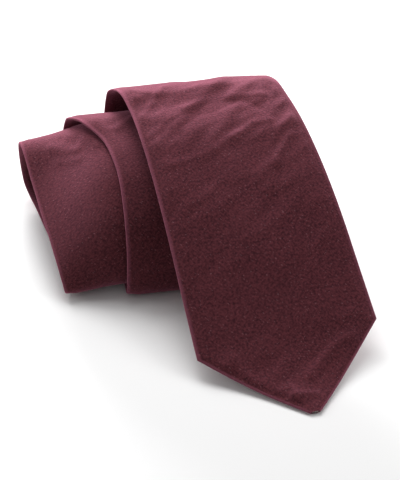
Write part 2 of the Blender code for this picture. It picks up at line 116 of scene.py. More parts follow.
# (turn, f of the strip's middle)
DRIFT = [(-0.15, 7.5), (0.0, 3.6), (0.1, 0.2), (0.2, -4.6), (0.25, -6.0), (0.5, -8.8), (0.62, -9.9),
         (0.75, -9.4), (0.9, -10.4), (1.0, -14), (1.08, -20), (1.15, -26), (1.25, -30.2),
         (1.5, -35.5), (1.62, -38.6), (1.75, -42), (2.0, -49), (2.15, -53), (2.25, -53.6),
         (2.33, -52.4), (2.5, -45.8), (2.62, -41.9), (2.8, -36), (3.0, -30), (3.25, -24),
         (3.5, -19), (4.0, -11), (5.0, -3), (6.0, 0), (9.5, 0)]
NECK_SEAM = 3.46  # turns at which the shell's lengths are sewn together
TAIL_SEAM = 5.46
LINING_CUT = (3.75, 3.76)  # turns at which the first interlining stops and the second starts

# ---- how finely the cloth is made (mm) ----
BLADE_STEP = 1.0  # between the rows of the shell, on the blade ...
ROLL_STEP = 1.4  # ... on the turns that show ...
INNER_STEP = 3.5  # ... and inside the roll
ROLL_SHOWN = 2.6  # turns that show
LINING_STEP = 2.6  # between the rows of the linings, on the blade ...
INNER_LINING_STEP = 4.0  # ... and in the roll
BLADE_COUNTS = (62, 3, 15)  # columns on the front, round each folded edge and on each back flap
ROLL_COUNTS = (42, 3, 11)
INNER_COUNTS = (16, 2, 6)
PROFILE_STEPS = 1500
BEND_BACK = 7.0  # the cloth bends this far either side of the crest ...
BEND_TIP = 6.0  # ... and of the fold above the blade's point
EDGE_THICK = 1.0  # the folded edges are pressed thinner than the middle
EDGE_BAND = 4.0  # over this width
SEAM_HALF = 0.2  # half of the gap between the two back flaps


# ---- small mathematics, on arrays ----
def lerp(a, b, k):
    return a + (b - a) * k


def smooth(x):
    x = np.clip(x, 0.0, 1.0)
    return x * x * (3.0 - 2.0 * x)


def outline(points, turn):
    """Points (g, z) on a closed outline, by a Catmull-Rom curve; turn counts once round."""
    corners = np.array(points, float)
    x = np.mod(turn, 1.0) * len(corners)
    i = np.floor(x).astype(int)
    u = (x - i)[..., None]
    p0, p1, p2, p3 = [corners[(i + k) % len(corners)] for k in (-1, 0, 1, 2)]
    return 0.5 * (2 * p1 + (p2 - p0) * u + (2 * p0 - 5 * p1 + 4 * p2 - p3) * u ** 2
                  + (3 * p1 - p0 - 3 * p2 + p3) * u ** 3)


def unit(vectors):
    return vectors / np.maximum(np.linalg.norm(vectors, axis=-1, keepdims=True), 1e-12)


def table(rows, x):
    return np.interp(x, *zip(*rows))


def curve_table(rows, x):
    """A smooth curve through the rows of a table."""
    xs, ys = np.array(rows, float).T
    i = np.clip(np.searchsorted(xs, x, side="left") - 1, 0, len(xs) - 2)
    before, after = np.maximum(i - 1, 0), np.minimum(i + 2, len(xs) - 1)
    span = xs[i + 1] - xs[i]
    u = np.clip((x - xs[i]) / span, 0.0, 1.0)
    slope0 = (ys[i + 1] - ys[before]) / (xs[i + 1] - xs[before]) * span
    slope1 = (ys[after] - ys[i]) / (xs[after] - xs[i]) * span
    return ((2 * u ** 3 - 3 * u ** 2 + 1) * ys[i] + (u ** 3 - 2 * u ** 2 + u) * slope0
            + (3 * u ** 2 - 2 * u ** 3) * ys[i + 1] + (u ** 3 - u ** 2) * slope1)


# ---- the path of the strip ----
PROFILE_RUN = np.linspace(0.0, BLADE_RUN, PROFILE_STEPS + 1)
_mid = (PROFILE_RUN[1:] + PROFILE_RUN[:-1]) / 2
_slope = np.radians(table(BLADE_SLOPES, _mid))
_step = BLADE_RUN / PROFILE_STEPS
PROFILE_G = CREST_G - np.concatenate([[0.0], np.cumsum(np.cos(_slope) * _step)])
PROFILE_Z = -np.concatenate([[0.0], np.cumsum(np.sin(_slope) * _step)])
PROFILE_Z += BLADE_THICK / 2 - PROFILE_Z[-1]
CREST_Z = PROFILE_Z[0]


def roll_place(t):
    outer, inner = outline(OUTER, t), outline(INNER, t)
    depth = table(INWARD, t) / PITCH_TURNS
    g = lerp(outer[..., 0], inner[..., 0], depth)
    z = lerp(np.maximum(outer[..., 1], TUBE_THICK / 2), inner[..., 1], depth)
    loose = 1.0 - smooth((t * len(OUTER) - LOOSE_FROM) / LOOSE_OVER)
    return g, z + np.where(t < 0.5, (CREST_Z - OUTER[0][1]) * loose, 0.0)


def wedge_place(t):
    outer, inner = outline(WEDGE_OUTER, t), outline(WEDGE_INNER, t)
    depth = np.maximum(t - WEDGE_PITCH_FROM, 0.0) * WEDGE_PITCH
    return (lerp(outer[..., 0], inner[..., 0], depth),
            lerp(np.maximum(outer[..., 1], TUBE_THICK / 2), inner[..., 1], depth))


def path(t, f):
    """Middle of the tie's thickness, as points (f, g, z)."""
    t, f = np.broadcast_arrays(np.asarray(t, float), np.asarray(f, float))
    g, z = roll_place(np.maximum(t, 0.0))
    sag = smooth((t - WEDGE_TURNS[0]) / (WEDGE_TURNS[1] - WEDGE_TURNS[0]))
    sag = sag * smooth((WEDGE_START_F - f) / (WEDGE_START_F - WEDGE_FULL_F))
    low_g, low_z = wedge_place(np.maximum(t, 0.0))
    g, z = lerp(g, low_g, sag), lerp(z, low_z, sag)
    run = -100.0 * t
    g = np.where(t < 0, np.interp(run, PROFILE_RUN, PROFILE_G), g)
    z = np.where(t < 0, np.interp(run, PROFILE_RUN, PROFILE_Z), z)
    return np.stack([f, g, z], axis=-1)


def outward(t, f):
    """Unit normals of the tie, on its front side."""
    along = path(t + 0.006, f) - path(t - 0.006, f)
    across = path(t, f + 0.5) - path(t, f - 0.5)
    return unit(np.cross(across, along))


ROLL_T = np.linspace(0.0, 9.6, 4801)
_places = path(ROLL_T, 0.0)
_moves = np.linalg.norm(np.diff(_places, axis=0), axis=1)
ROLL_L = np.concatenate([[0.0], np.cumsum(_moves)])  # path length, square to the roll's axis
_slides = np.diff(curve_table(DRIFT, ROLL_T))
ROLL_S = CREST_S + np.concatenate([[0.0], np.cumsum(np.hypot(_moves, _slides))])  # length along the tie


def unrolled(t):
    """Distance along the unrolled cloth, square to the roll's axis, from the crest."""
    return np.where(t < 0, 100.0 * t, np.interp(t, ROLL_T, ROLL_L))


def turn_at(length):
    return np.where(length < 0, length / 100.0, np.interp(length, ROLL_L, ROLL_T))


# ---- how wide and thick the tie is ----
def half_width(s):
    wide = np.where(s < NECK_START,
                    np.interp(s, [BLADE_WIDTH / 2, NECK_START], [BLADE_WIDTH, NECK_WIDTH]),
                    np.interp(s, [NECK_END, TIE_LENGTH], [NECK_WIDTH, TAIL_WIDTH]))
    return np.minimum(np.minimum(wide / 2, TIE_LENGTH - s), s)


def thickness(s):
    return lerp(BLADE_THICK, TUBE_THICK, smooth((s - THICK_FROM) / (THICK_TO - THICK_FROM)))


def back_opening(s, half):
    """Half of the gap between the back flaps: a seam, parting in a V toward each end."""
    gap = np.full_like(s, SEAM_HALF)
    for end, opens, full in ((s, BLADE_OPEN, BLADE_WIDTH / 2), (TIE_LENGTH - s, TAIL_OPEN, TAIL_WIDTH / 2)):
        inner = full - HEM * math.sqrt(2)
        vee = inner * (opens - end) / (opens - full)
        open_here = np.maximum(SEAM_HALF, np.minimum(np.minimum(vee, inner), half - HEM * math.sqrt(2)))
        gap = np.where(end < opens, open_here, gap)
    return gap


# ---- rows: lines across the strip, from its left edge to its right edge ----
class Rows:
    """Edges (t, f) of each row, its distance s from the blade's point, and its half width."""

    def __init__(self, left, right, s):
        self.left, self.right, self.s = [np.array(part, float) for part in (left, right, s)]
        ends = [np.stack([unrolled(e[:, 0]), e[:, 1]], axis=-1) for e in (self.left, self.right)]
        self.half = np.linalg.norm(ends[1] - ends[0], axis=1) / 2
        self.thick = thickness(self.s)

    def spots(self, u):
        """(t, f) at the places u across, an array with one line for each row."""
        k = (0.5 + 0.5 * u / self.half[:, None])[..., None]
        spot = lerp(self.left[:, None, :], self.right[:, None, :], k)
        return spot[..., 0], spot[..., 1]


def blade_spot(s, u):
    down = CREST_S - s
    run = down * math.cos(BLADE_DRIFT) - u * math.sin(BLADE_DRIFT)
    return turn_at(-run), CREST_F + down * math.sin(BLADE_DRIFT) + u * math.cos(BLADE_DRIFT)


def blade_edge(side, run):
    s = CREST_S - run
    for _ in range(4):
        s = CREST_S - (run + side * half_width(s) * math.sin(BLADE_DRIFT)) / math.cos(BLADE_DRIFT)
    return s


def blade_rows(s_left, s_right):
    left = blade_spot(s_left, -half_width(s_left))
    right = blade_spot(s_right, half_width(s_right))
    return Rows(np.stack(left, axis=-1), np.stack(right, axis=-1), (s_left + s_right) / 2)


def roll_rows(t):
    s = np.interp(t, ROLL_T, ROLL_S)
    before = np.maximum(t - 0.01, 0.0)
    pace = (np.interp(t + 0.01, ROLL_T, ROLL_L) - np.interp(before, ROLL_T, ROLL_L)) / (t + 0.01 - before)
    slide = (curve_table(DRIFT, t + 0.01) - curve_table(DRIFT, t - 0.01)) / 0.02
    reach = half_width(s) * np.hypot(slide, pace) / pace
    middle = curve_table(DRIFT, t)
    return Rows(np.stack([t, middle - reach], axis=-1), np.stack([t, middle + reach], axis=-1), s)


def spaced(start, stop, step):
    """Places from start to stop about a step apart, with one more beyond each end."""
    count = max(int(round(abs(stop - start) / step)), 2)
    one = (stop - start) / count
    return start + one * np.arange(-1, count + 2)


# ---- soft unevenness of the cloth ----
def read_grid(grid, x, y):
    """Values between the points of a grid, which repeats beyond its edges."""
    i, j = np.floor(x).astype(int), np.floor(y).astype(int)
    u, v = smooth(x - i), smooth(y - j)
    rows, columns = grid.shape
    corner = [[grid[(i + a) % rows, (j + b) % columns] for b in (0, 1)] for a in (0, 1)]
    return lerp(lerp(corner[0][0], corner[1][0], u), lerp(corner[0][1], corner[1][1], u), v)


def value_noise(x, y, seed):
    """Smooth noise from -1 to 1 with a cell of 1, the same each run."""
    return read_grid(np.random.default_rng(seed).uniform(-1.0, 1.0, (64, 64)), x, y)


BILLOW = 0.35  # mm


def billow(t, f):
    """How far the whole free blade waves off its path (mm)."""
    length = unrolled(t)
    wave = value_noise(length / 34.0 + 7.0, f / 27.0 + 3.0, 5)
    wave = wave + 0.5 * value_noise(length / 15.0, f / 18.0, 6)
    behind = smooth((38.0 - length) / 30.0)  # it dies away behind the crest ...
    near_point = smooth((length + 138.0) / 30.0)  # ... and where the point lies down
    return BILLOW * wave * behind * near_point


class Rumple:
    """Creases of the front cloth, from a flat sheet that is a little too long for its pinned edges.

    The sheet lies in the blade's own plane: down from the crest along the strip, and u across it.
    Its rest shape is stretched square to the creases, so that it buckles into them.
    """
    SCALE = 0.02  # scene units for each mm, so that the solver works at an everyday size
    STEP = 1.6  # between the points of the sheet (mm)
    DOWN = (-52.0, 146.0)  # it reaches past the cloth on all sides
    ACROSS = (-38.0, 38.0)
    CREASE_ANGLE = 40.0  # degrees from across the strip, rising to the right
    SURPLUS = 0.03  # how much too long the sheet is
    FRAMES = 40
    START = 0.25  # height of the first unevenness (mm)

    def __init__(self):
        self.down = np.arange(self.DOWN[0], self.DOWN[1] + 0.1, self.STEP)
        self.across = np.arange(self.ACROSS[0], self.ACROSS[1] + 0.1, self.STEP)
        height = self.simulate()
        height = height - height.mean()
        self.height = height / height.std()

    def guess(self):
        """A plain noise field, with ridges along the creases."""
        down, across = np.meshgrid(self.down, self.across, indexing="ij")
        a = math.radians(self.CREASE_ANGLE)
        along, square = across * math.cos(a) - down * math.sin(a), across * math.sin(a) + down * math.cos(a)
        coarse = value_noise(square / 5.5 + 11.0, along / 16.0, 1)
        return coarse + 0.5 * value_noise(square / 3.4, along / 10.0, 2)

    def simulate(self):
        """Heights (mm) of the sheet's points after the cloth has buckled."""
        rows, columns = len(self.down), len(self.across)
        down, across = np.meshgrid(self.down, self.across, indexing="ij")
        start = self.START * self.guess()
        flat = np.stack([across, -down, start], axis=-1) * self.SCALE
        index = np.arange(rows * columns).reshape(rows, columns)
        faces = np.stack([index[:-1, :-1], index[1:, :-1], index[1:, 1:], index[:-1, 1:]], axis=-1)
        mesh = bpy.data.meshes.new("rumple_sheet")
        mesh.from_pydata(flat.reshape(-1, 3).tolist(), [], faces.reshape(-1, 4).tolist())
        sheet = add_piece("rumple_sheet", mesh)
        pins = sheet.vertex_groups.new(name="pins")
        rim = np.ones((rows, columns), bool)
        rim[1:-1, 1:-1] = False
        pins.add([int(i) for i in index[rim]], 1.0, "REPLACE")
        a = math.radians(self.CREASE_ANGLE)
        square = np.array([-math.sin(a), math.cos(a), 0.0])
        flat[..., 2] = 0.0
        rest = flat + (flat @ square)[..., None] * square * self.SURPLUS
        sheet.shape_key_add(name="flat")
        key = sheet.shape_key_add(name="rest")
        key.data.foreach_set("co", rest.astype(np.float32).ravel())
        key.value = 0.0
        cloth = sheet.modifiers.new("cloth", "CLOTH")
        for setting, value in dict(quality=6, mass=0.2, tension_stiffness=40.0, compression_stiffness=40.0,
                                   shear_stiffness=12.0, bending_stiffness=0.12, air_damping=2.0,
                                   vertex_group_mass="pins", rest_shape_key=key).items():
            setattr(cloth.settings, setting, value)
        cloth.settings.effector_weights.gravity = 0.0
        cloth.collision_settings.use_collision = False
        cloth.point_cache.frame_start, cloth.point_cache.frame_end = 1, self.FRAMES
        scene = bpy.context.scene
        for number in range(1, self.FRAMES + 1):
            scene.frame_set(number)
        made = sheet.evaluated_get(bpy.context.evaluated_depsgraph_get()).to_mesh()
        places = np.zeros(rows * columns * 3, np.float32)
        made.vertices.foreach_get("co", places)
        bpy.data.objects.remove(sheet, do_unlink=True)
        scene.frame_set(1)
        return places.reshape(rows, columns, 3)[..., 2].astype(float) / self.SCALE

    def at(self, length, f):
        """Height of the creases, with a spread of 1, at places on the unrolled cloth."""
        run, side = -length, f - CREST_F
        down = run * math.cos(BLADE_DRIFT) + side * math.sin(BLADE_DRIFT)
        across = side * math.cos(BLADE_DRIFT) - run * math.sin(BLADE_DRIFT)
        x = np.clip((down - self.down[0]) / self.STEP, 0, len(self.down) - 1.001)
        y = np.clip((across - self.across[0]) / self.STEP, 0, len(self.across) - 1.001)
        return read_grid(self.height, x, y)


# Single creases: height and half width (mm), and the line it runs along, as (length, f) on the
# unrolled cloth.  The lengths below 0 are on the blade, those above 200 on the next two turns.
CREASE_GAIN = 1.35  # over the heights in this table
CREASES = [
    (0.36, 1.7, [(-34.4, -16.7), (-30.0, -3.0), (-22.5, 6.6), (-20.3, 10.8)]),
    (0.30, 1.5, [(-27.9, 1.7), (-22.8, 8.8)]),
    (-0.34, 2.6, [(-19.0, -11.7), (-9.1, -4.5), (-3.9, 4.5), (-1.6, 11.9)]),
    (0.32, 1.8, [(-22.9, 10.8), (-16.2, 17.5), (-14.9, 25.0)]),
    (0.45, 1.7, [(-37.5, 23.5), (-30.9, 27.0), (-23.5, 32.0)]),
    (0.30, 1.8, [(-8.6, -28.8), (-5.9, -25.0), (4.6, -19.0), (13.8, -13.0)]),
    (0.24, 1.8, [(-47.9, 16.8), (-37.5, 24.4)]),
    (0.22, 1.8, [(-43.3, 5.3), (-40.5, 13.2)]),
    (0.62, 1.6, [(-130.6, 9.7), (-127.9, 14.1), (-133.0, 15.0), (-132.5, 22.9)]),
    (0.50, 2.0, [(-124.0, 22.5), (-117.0, 29.0), (-112.0, 35.0), (-109.5, 40.8)]),
    (0.34, 1.8, [(-113.0, -5.0), (-122.9, -0.4)]),
    (0.30, 1.8, [(-102.3, 36.7), (-100.2, 42.8)]),
    (0.26, 2.2, [(7.8, -15.1), (10.9, 1.0), (13.4, 21.0)]),
    (-0.26, 2.0, [(5.4, -19.5), (-2.4, -24.9)]),
    (0.30, 1.9, [(-3.5, -7.5), (2.0, 3.0), (2.2, 15.0), (1.9, 25.1)]),
    (-0.26, 2.0, [(-1.8, 8.6), (-0.5, 15.8), (-7.2, 23.3)]),
    (0.28, 1.8, [(-30.6, 21.2), (-19.9, 29.0), (-14.2, 33.2)]),
    (-0.24, 1.6, [(3.5, 29.0), (-4.2, 24.9)]),
    (0.24, 1.6, [(-29.1, 2.0), (-33.9, -3.8), (-36.5, -10.4)]),
    (0.20, 1.8, [(-44.9, 8.0), (-49.4, 2.8)]),
    (0.24, 1.8, [(12.9, -27.0), (10.6, -19.0)]),
    (-0.26, 1.8, [(-37.0, -6.5), (-32.1, 1.2), (-28.0, 7.0)]),
    (-0.34, 1.4, [(232.6, -36.0), (239.9, -28.0)]),
    (0.32, 1.6, [(229.4, -34.2), (237.6, -25.6)]),
    (0.24, 2.0, [(239.0, -41.0), (230.7, -45.0)]),
    (0.36, 2.0, [(433.0, -60.0), (427.0, -54.0), (425.1, -50.0)]),
    (-0.26, 2.0, [(436.0, -56.0), (430.0, -50.0)]),
    (0.30, 2.0, [(425.0, -58.0), (419.0, -50.0)]),
    (0.28, 1.8, [(430.0, -47.0), (421.4, -43.0)]),
]


def single_creases(length, f):
    total = np.zeros_like(length)
    for height, spread, line in CREASES:
        near = np.full_like(length, 1e9)
        for (x0, y0), (x1, y1) in zip(line, line[1:]):
            dx, dy = x1 - x0, y1 - y0
            k = np.clip(((length - x0) * dx + (f - y0) * dy) / (dx * dx + dy * dy), 0.0, 1.0)
            near = np.minimum(near, np.hypot(length - x0 - k * dx, f - y0 - k * dy))
        total += height * np.exp(-(near / spread) ** 2)
    return CREASE_GAIN * total


FINE_ANGLE = 32.0  # degrees from across the strip, for the finest creases
LIE_OFF = 0.45  # the front lies this far off the lining on the whole (mm)
FLOOR_SOFTNESS = 0.02  # rounds off where it would sink into the lining


def rumple(length, f):
    """Height of the front cloth off the lining (mm)."""
    length, f = np.broadcast_arrays(np.asarray(length, float), np.asarray(f, float))
    upper = smooth((length + 100.0) / 55.0) * smooth((45.0 - length) / 30.0)
    point = smooth((-length - 95.0) / 25.0)
    rumpled = RUMPLE.at(length, f) * (0.05 + 0.28 * upper + 0.30 * point)
    a = math.radians(FINE_ANGLE)
    along, square = f * math.cos(a) + length * math.sin(a), f * math.sin(a) - length * math.cos(a)
    fine = value_noise(square / 2.4 + 5.0, along / 8.0 + 3.0, 12) * (0.02 + 0.13 * upper + 0.05 * point)
    ripple = value_noise(length / 11.0, f / 8.0, 9) * 0.05
    height = rumpled + single_creases(length, f) + (ripple + fine) + LIE_OFF
    return 0.5 * (height + np.sqrt(height * height + FLOOR_SOFTNESS))


def lifted(t, f, height):
    """Points at a height off the middle of the strip, with the billow of the blade."""
    t, f = np.broadcast_arrays(np.asarray(t, float), np.asarray(f, float))
    return path(t, f) + outward(t, f) * (height + billow(t, f))[..., None]


# ---- from the roll's frame to the world ----
LIFT = next(joint for joint in frame["joints"] if joint["name"] == "blade_lift")
AXIS_F = -Vector(LIFT["axis"]).normalized()
AXIS_Z = Vector((0, 0, 1))
AXIS_G = AXIS_Z.cross(AXIS_F)
_hinge = AXIS_F * CREST_F + AXIS_G * CREST_G + AXIS_Z * (CREST_Z + TUBE_THICK / 2)
ORIGIN = Vector(LIFT["pos_m"]) - _hinge * MM
TO_WORLD = np.array([AXIS_F, AXIS_G, AXIS_Z])


def world(points):
    return np.asarray(points, float) @ TO_WORLD * MM + np.array(ORIGIN)


UV_MM = 100.0  # millimetres of cloth to one unit of UV


# ---- meshes from grids ----
def grid_normals(points):
    down, across = np.gradient(points, axis=0), np.gradient(points, axis=1)
    return unit(np.cross(across, down))


def round_faces(index):
    """Quads between rows of points that each close on themselves."""
    beside = np.roll(index, -1, axis=1)
    return np.stack([index[:-1], beside[:-1], beside[1:], index[1:]], axis=-1).reshape(-1, 4)


def strip_mesh(name, outer, inner, plane, edge):
    """A layer of cloth between two grids of points, closed all round.

    The first and last rows are only there to make the normals run on into the next length
    of the tie; they are left out of the mesh.  plane holds each point's (length, f) on the
    unrolled cloth, and edge is 1 on a folded edge.
    """
    pairs = (grid_normals(outer), -grid_normals(inner)), (outer, inner), (plane, plane), (edge, edge)
    normals, points, places, folded = [np.concatenate([a, b[:, ::-1]], axis=1)[1:-1] for a, b in pairs]
    rows, size = points.shape[:2]
    index = np.arange(rows * size).reshape(rows, size)
    half = size // 2
    faces = [round_faces(index)]
    for row, way in ((index[0], -1), (index[-1], 1)):
        far = row[:half - 1:-1][:half - 1]
        cap = np.stack([row[:half - 1], row[1:half], row[size - 2:half - 1:-1], far], axis=-1)
        faces.append(cap[:, ::way])
    faces = np.concatenate(faces)
    mesh = bpy.data.meshes.new(name)
    mesh.from_pydata(world(points).reshape(-1, 3).tolist(), [], faces.tolist())
    mesh.update()
    uv = mesh.uv_layers.new(name="cloth")
    corners = faces.reshape(-1)
    in_uv = places.reshape(-1, 2)[corners][:, ::-1] * (1 / UV_MM)
    uv.data.foreach_set("uv", in_uv.astype(np.float32).ravel())
    attribute = mesh.attributes.new("fold", "FLOAT", "POINT")
    attribute.data.foreach_set("value", folded.ravel().astype(np.float32))
    mesh.shade_smooth()
    turned = normals.reshape(-1, 3) @ TO_WORLD
    mesh.normals_split_custom_set_from_vertices(turned.tolist())
    return add_piece(name, mesh)


def add_piece(name, mesh):
    piece = bpy.data.objects.new(name, mesh)
    bpy.context.collection.objects.link(piece)
    return piece


def arc(middle_u, middle_n, radius_u, radius_n, start, stop, count):
    angle = np.radians(np.linspace(start, stop, count))
    return (middle_u[:, None] + radius_u[:, None] * np.cos(angle),
            middle_n[:, None] + radius_n[:, None] * np.sin(angle))


def bulge(rows, u, slant, radius):
    """Height of the tie's face off its middle: pressed thin along the folded edges."""
    inward = (rows.half[:, None] - EDGE_THICK / 2 - np.abs(u)) / (EDGE_BAND * slant[:, None])
    return lerp(np.broadcast_to(radius, rows.s.shape)[:, None], rows.thick[:, None] / 2, smooth(inward))


def shell_section(rows, front, bend, back):
    """(u, n) round the outside of the folded shell, from the back seam round the front to the seam."""
    half = rows.half
    slant = np.where(rows.s < BLADE_WIDTH / 2, math.sqrt(2), 1.0)
    slant = np.where(TIE_LENGTH - rows.s < TAIL_WIDTH / 2, math.sqrt(2), slant)
    radius = np.minimum(EDGE_THICK / 2, half * 0.3)
    reach = np.minimum(radius * slant, half * 0.4)
    gap = np.clip(back_opening(rows.s, half), SEAM_HALF * 0.5, np.maximum(half - reach - 0.3, 0.05))
    zero = np.zeros_like(half)

    flap = lerp(gap[:, None], (half - reach)[:, None], np.linspace(0, 1, back))
    u_front = (half - reach)[:, None] * np.linspace(-1, 1, front)
    left = arc(-half + reach, zero, reach, radius, 270, 90, bend + 2)
    right = arc(half - reach, zero, reach, radius, 90, -90, bend + 2)
    u = np.concatenate([-flap, left[0][:, 1:-1], u_front, right[0][:, 1:-1], flap[:, ::-1]], axis=1)
    face, under = [bulge(rows, places, slant, radius) for places in (u_front, flap)]
    n = np.concatenate([-under, left[1][:, 1:-1], face, right[1][:, 1:-1], -under[:, ::-1]], axis=1)
    on_front = np.zeros(u.shape[1])
    on_front[back + bend:back + bend + front] = 1.0
    edge = np.zeros(u.shape[1])
    edge[back - 1:back + bend + 1] = 1.0
    edge[-(back + bend) - 1:-back + 1] = 1.0
    return u, n, slant, on_front, edge


def shell_piece(name, rows, front, bend, back):
    u, n, slant, on_front, edge = shell_section(rows, front, bend, back)
    t, f = rows.spots(u)
    inside = smooth((rows.half[:, None] - np.abs(u) - 0.6) / 4.0) * on_front
    n_outer = n + rumple(unrolled(t), f) * inside
    du, dn = np.gradient(u, axis=1) / slant[:, None], np.gradient(n_outer, axis=1)
    size = np.maximum(np.hypot(du, dn), 1e-9)
    u_in = u + dn / size * CLOTH * slant[:, None]
    n_in = n_outer - du / size * CLOTH
    t_in, f_in = rows.spots(u_in)
    plane = np.stack([unrolled(t), f], axis=-1)
    plane[..., 1] = np.where(n < 0, 2 * np.sign(u) * rows.half[:, None] - u, u) + (f - u)
    edges = np.broadcast_to(edge, u.shape)
    return strip_mesh(name, lifted(t, f, n_outer), lifted(t_in, f_in, n_in), plane, edges)


def sheet_piece(name, rows, inset, low, high, count):
    """A flat layer inside the shell; low and high are its heights, one for each row."""
    slant = np.where(np.minimum(rows.s, TIE_LENGTH - rows.s) < rows.half + 3, math.sqrt(2), 1.0)
    reach = np.maximum(rows.half - inset * slant, 0.2)
    u = reach[:, None] * np.linspace(-1, 1, count)
    t, f = rows.spots(u)
    plane = np.stack([unrolled(t), f], axis=-1)
    room = bulge(rows, u, slant, EDGE_THICK / 2) - CLOTH - 0.08
    low, high = [np.clip(np.asarray(h, float)[:, None], -room, room) for h in (low, high)]
    return strip_mesh(name, lifted(t, f, high), lifted(t, f, low), plane, np.zeros(u.shape))


# ---- the lengths of the tie ----
HINGE_RUN = (CREST_S - TIP_HINGE_S) * math.cos(BLADE_DRIFT)
TIP_START = HINGE_RUN - BEND_TIP - 1.0  # the point's length starts above its fold
ROLL_START = BEND_BACK + 1.0  # the roll's length starts behind the crest
ROLL_START_TURN = float(turn_at(np.float64(ROLL_START)))
BLUNT_S = [3.4, 2.9, 2.5, 2.3, 2.2]  # the point is blunt: its last rows


def joined(*parts):
    return Rows(*[np.concatenate([getattr(rows, side) for rows in parts]) for side in ("left", "right", "s")])


def point_rows(step):
    """Rows of the blade's lower end, from its blunt point up to where they lie along the roll's axis."""
    corner = BLADE_WIDTH / 2
    start = [blade_edge(side, TIP_START) for side in (-1, 1)]
    count = int(round((sum(start) / 2 - corner) / step))
    turning = np.arange(-1, count) / count
    ends = np.concatenate([spaced(corner, BLUNT_S[0] + step / 2, step)[1:-1], BLUNT_S, [2.15]])
    left, right = [np.concatenate([lerp(s, corner, turning), ends])[::-1] for s in start]
    return blade_rows(left, right)


def flap_rows(step):
    """Rows of the blade's upper length, up to the crest and a little behind it."""
    run = spaced(TIP_START, 0.0, step)[:-2]
    behind = np.linspace(0.0, ROLL_START, 7)
    behind = turn_at(np.append(behind, behind[-1] + behind[1]))
    return joined(blade_rows(blade_edge(-1, run), blade_edge(1, run)), roll_rows(behind))


def wound_rows(turns, steps):
    """Rows of the wound tie through the given turns, with a step between each two of them."""
    stops = np.interp(turns, ROLL_T, ROLL_L)
    places = [spaced(a, b, step)[1:-2] for a, b, step in zip(stops, stops[1:], steps)]
    ends = [stops[-1], stops[-1] + steps[-1]]
    return roll_rows(turn_at(np.concatenate([[stops[0] - steps[0]], *places, ends])))


def pace(turn):
    """Length of cloth in one turn, about here."""
    return float(np.interp(turn + 0.5, ROLL_T, ROLL_L) - np.interp(turn - 0.5, ROLL_T, ROLL_L))


def half_gap(turn):
    """Half of the gap between two lengths of the shell, in turns."""
    return 0.15 / pace(turn)


def follow(piece, length):
    """Rides with the body that carries this length of the tie, or stays where it is made."""
    riders = {"roll": "roll", "keeper": "blade", "seam": "blade", "tip": "blade_tip"}
    if length in riders:
        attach(piece, riders[length])
    elif length == "flap":
        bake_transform(piece)
    else:
        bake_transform(piece)


# ---- materials ----
class Nodes:
    """Short calls for building one material's node tree."""

    def __init__(self, name):
        self.material = bpy.data.materials.new(name)
        self.material.use_nodes = True
        self.tree = self.material.node_tree
        self.shader = self.tree.nodes["Principled BSDF"]

    def add(self, kind, inputs=None, **settings):
        node = self.tree.nodes.new(kind)
        for key, value in settings.items():
            setattr(node, key, value)
        for key, value in (inputs or {}).items():
            self.put(node.inputs[key], value)
        return node

    def put(self, socket, value):
        if isinstance(value, bpy.types.NodeSocket):
            self.tree.links.new(value, socket)
        else:
            socket.default_value = value

    def math(self, operation, a, b=0.0, c=0.0):
        node = self.add("ShaderNodeMath", operation=operation)
        for socket, value in zip(node.inputs, (a, b, c)):
            self.put(socket, value)
        return node.outputs[0]

    def span(self, value, low, high, to_low=0.0, to_high=1.0):
        node = self.add("ShaderNodeMapRange", interpolation_type="SMOOTHSTEP")
        for socket, item in zip(node.inputs, (value, low, high, to_low, to_high)):
            self.put(socket, item)
        return node.outputs[0]

    def mix(self, amount, a, b, blend="MIX"):
        node = self.add("ShaderNodeMix", data_type="RGBA", blend_type=blend)
        self.put(node.inputs[0], amount)
        self.put(node.inputs[6], a)
        self.put(node.inputs[7], b)
        return node.outputs[2]

    def bump(self, height, strength, distance):
        sizes = {"Height": height, "Strength": strength, "Distance": distance}
        return self.add("ShaderNodeBump", sizes).outputs[0]

    def shade(self, **values):
        for key, value in values.items():
            self.put(self.shader.inputs[key.replace("_", " ")], value)


def plane_vector(nodes, angle, stretch):
    """Places on the unrolled cloth in millimetres, turned by an angle and stretched in two directions."""
    uv = nodes.add("ShaderNodeUVMap", uv_map="cloth").outputs[0]
    turned = nodes.add("ShaderNodeMapping", {"Vector": uv, "Rotation": (0, 0, math.radians(angle))})
    return nodes.add("ShaderNodeMapping", {"Vector": turned.outputs[0],
                                           "Scale": (UV_MM * stretch[0], UV_MM * stretch[1], 1.0)}).outputs[0]


def yarns(nodes, angle, pitch):
    """Ridges of yarn, one each pitch (mm), across an angle."""
    vector = plane_vector(nodes, angle, (1.0, 1.0))
    return nodes.add("ShaderNodeTexWave", {"Vector": vector, "Scale": 0.314 / pitch, "Distortion": 0.6,
                                           "Detail": 1.0, "Detail Scale": 2.0}).outputs["Fac"]


def noise(nodes, vector, scale, detail=2.0):
    node = nodes.add("ShaderNodeTexNoise", {"Vector": vector, "Scale": scale, "Detail": detail})
    return node.outputs["Fac"]


COTTON_DARK = (0.020, 0.0046, 0.0053, 1)
COTTON_LIGHT = (0.104, 0.0252, 0.0290, 1)
COTTON_FLECK = (0.30, 0.15, 0.17, 1)
COTTON_FOLD_HIGHLIGHT = (0.31, 0.095, 0.145, 1)  # painted highlight along the folded edges
COTTON_SHEEN = (1.0, 0.37, 0.53, 1)
YARN_ANGLES = (45, -45)  # the cloth is cut on the bias
COTTON_YARN = 0.42  # pitch of its yarns (mm)


